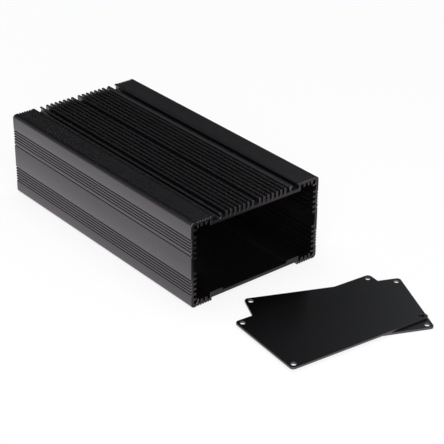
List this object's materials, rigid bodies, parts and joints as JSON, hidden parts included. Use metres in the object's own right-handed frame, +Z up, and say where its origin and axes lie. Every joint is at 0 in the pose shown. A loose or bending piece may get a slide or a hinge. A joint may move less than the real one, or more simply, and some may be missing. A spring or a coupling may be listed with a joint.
{
  "type": "extruded aluminium enclosure",
  "caption": "Long black anodised aluminium case cut from one ribbed profile, with a finned top, board guides, screw ports and loose end plates.",
  "frame": {"origin": "on the resting plane, under the middle of the extrusion's length and width", "axes": "+X to the right across the front opening, +Y from the front opening to the back along the profile, +Z up"},
  "size_m": [0.1258, 0.3092, 0.06],
  "materials": {
    "anodised_profile": "fine satin black anodising on extruded aluminium",
    "anodised_sheet": "fine satin black anodising on rolled aluminium sheet"
  },
  "bodies": {
    "root": {"extrusion": "anodised_profile", "lower_plate": "anodised_sheet", "upper_plate": "anodised_sheet"}
  },
  "joints": []
}
